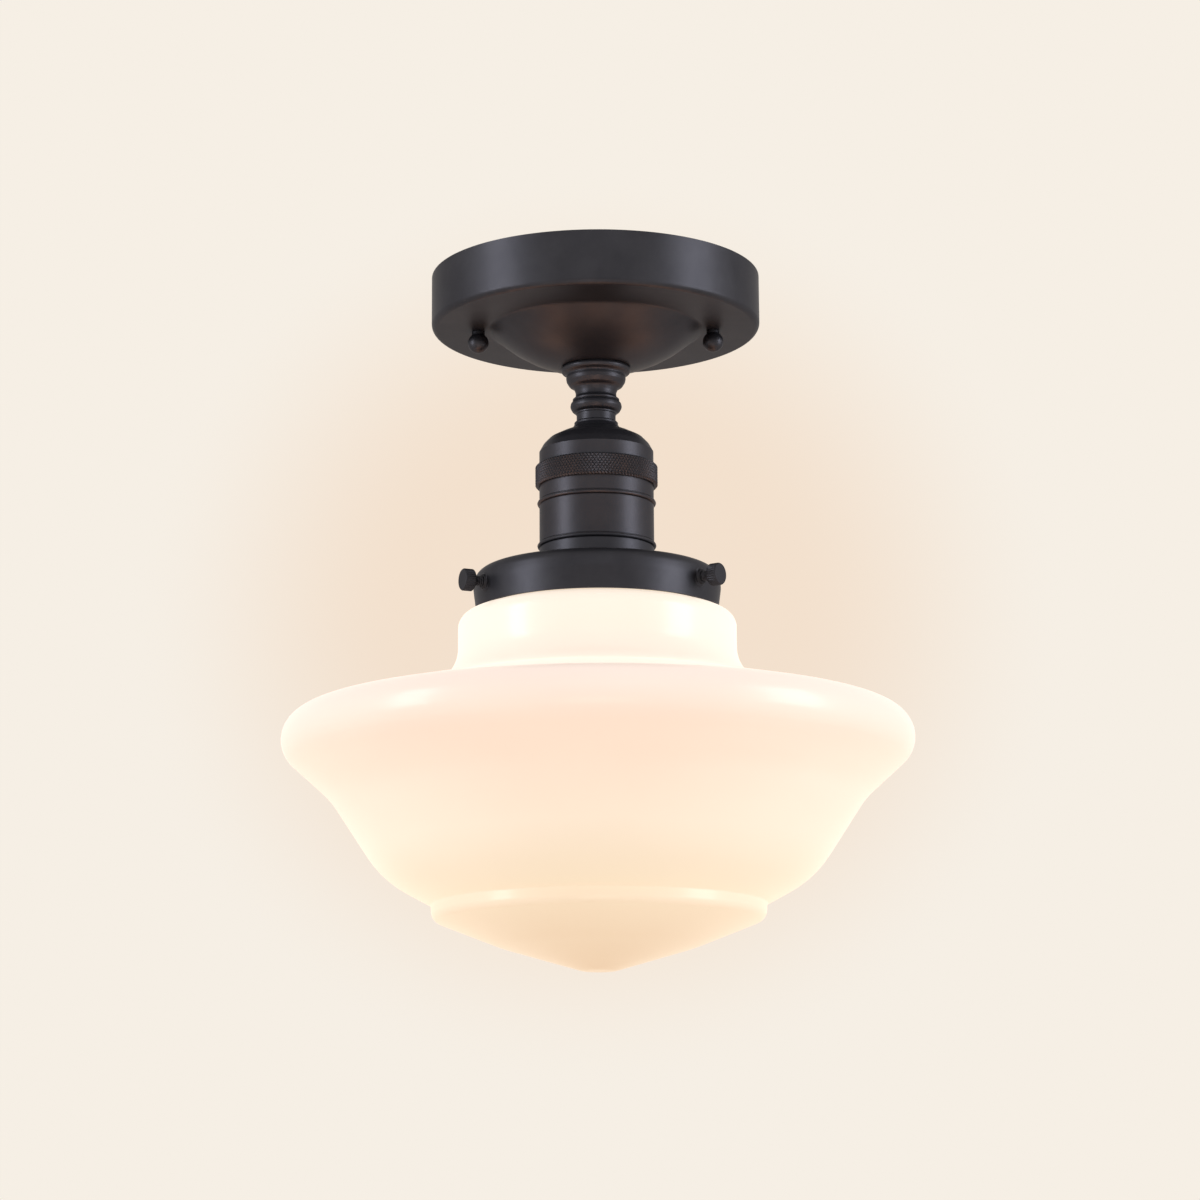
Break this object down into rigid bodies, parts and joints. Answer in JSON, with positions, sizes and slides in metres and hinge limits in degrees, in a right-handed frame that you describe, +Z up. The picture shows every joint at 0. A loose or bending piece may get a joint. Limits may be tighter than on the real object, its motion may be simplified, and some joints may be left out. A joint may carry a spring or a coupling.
{
  "type": "semi flush ceiling light",
  "caption": "Semi flush ceiling light: round canopy with a dished middle, turned stem, knurled-ring lampholder, three-screw fitter and a stepped opal glass shade.",
  "frame": {"origin": "middle of the ceiling plane, at the top face of the cross bracket", "axes": "+Z up into the ceiling, -Y towards the viewer of the picture, +X to the viewer's right"},
  "size_m": [0.2476, 0.2476, 0.2781],
  "materials": {
    "black_metal": "matt black powder coat",
    "zinc_steel": "zinc plated",
    "green_steel": "green dyed zinc",
    "brass": "plain brass",
    "nickel_plate": "nickel plated",
    "porcelain": "glazed white porcelain",
    "black_phenolic": "moulded black",
    "opal_glass": "glossy cased opal, lit from within",
    "bulb_glass": "frosted",
    "bulb_cap_metal": "rolled thread",
    "black_insulation": "smooth",
    "white_insulation": "smooth",
    "green_insulation": "smooth",
    "orange_plastic": "moulded",
    "green_plastic": "moulded"
  },
  "bodies": {
    "fixture": {"cross_bracket": "zinc_steel", "ground_screw": "green_steel", "canopy_studs": "zinc_steel", "stud_lock_nuts": "zinc_steel", "canopy": "black_metal", "threaded_nipple": "zinc_steel", "lock_washer": "zinc_steel", "nipple_lock_nut": "brass", "wire_bushing": "black_phenolic", "turned_stem": "black_metal", "socket_cap": "black_metal", "socket_shell": "black_metal", "lampholder_body": "porcelain", "screw_shell": "brass", "centre_contact": "brass", "hot_terminal": "brass", "neutral_terminal": "nickel_plate", "terminal_screws": "brass", "shade_holder": "black_metal", "holder_lock_ring": "black_metal", "hot_lead": "black_insulation", "neutral_lead": "white_insulation", "ground_lead": "green_insulation", "hot_wire_nut": "orange_plastic", "neutral_wire_nut": "orange_plastic", "ground_wire_nut": "green_plastic"},
    "knob_left": {"canopy_knob_left": "black_metal"},
    "knob_right": {"canopy_knob_right": "black_metal"},
    "union_ring": {"knurled_ring": "black_metal"},
    "screw_left": {"thumb_screw_left": "black_metal"},
    "screw_right": {"thumb_screw_right": "black_metal"},
    "screw_rear": {"thumb_screw_rear": "black_metal"},
    "shade": {"glass_shade": "opal_glass"},
    "bulb": {"bulb_contact": "nickel_plate", "bulb_insulator": "black_phenolic", "bulb_cap": "bulb_cap_metal", "bulb_globe": "bulb_glass"}
  },
  "joints": [
    {"name": "knob_left_unscrew", "type": "slide", "parent": "fixture", "child": "knob_left", "axis": [0, 0, -1], "range_m": [0, 0.0065]},
    {"name": "knob_right_unscrew", "type": "slide", "parent": "fixture", "child": "knob_right", "axis": [0, 0, -1], "range_m": [0, 0.0065]},
    {"name": "union_ring_turn", "type": "hinge", "parent": "fixture", "child": "union_ring", "pos_m": [0, 0, -0.0817], "axis": [0, 0, 1], "continuous": true},
    {"name": "screw_left_unscrew", "type": "slide", "parent": "fixture", "child": "screw_left", "axis": [-0.9026, -0.4305, 0], "range_m": [0, 0.006]},
    {"name": "screw_right_unscrew", "type": "slide", "parent": "fixture", "child": "screw_right", "axis": [0.8241, -0.5664, 0], "range_m": [0, 0.006]},
    {"name": "screw_rear_unscrew", "type": "slide", "parent": "fixture", "child": "screw_rear", "axis": [0.0785, 0.9969, 0], "range_m": [0, 0.006]},
    {"name": "shade_lower", "type": "slide", "parent": "fixture", "child": "shade", "axis": [0, 0, -1], "range_m": [0, 0.1]},
    {"name": "bulb_unscrew", "type": "slide", "parent": "fixture", "child": "bulb", "axis": [0, 0, -1], "range_m": [0, 0.024]}
  ]
}
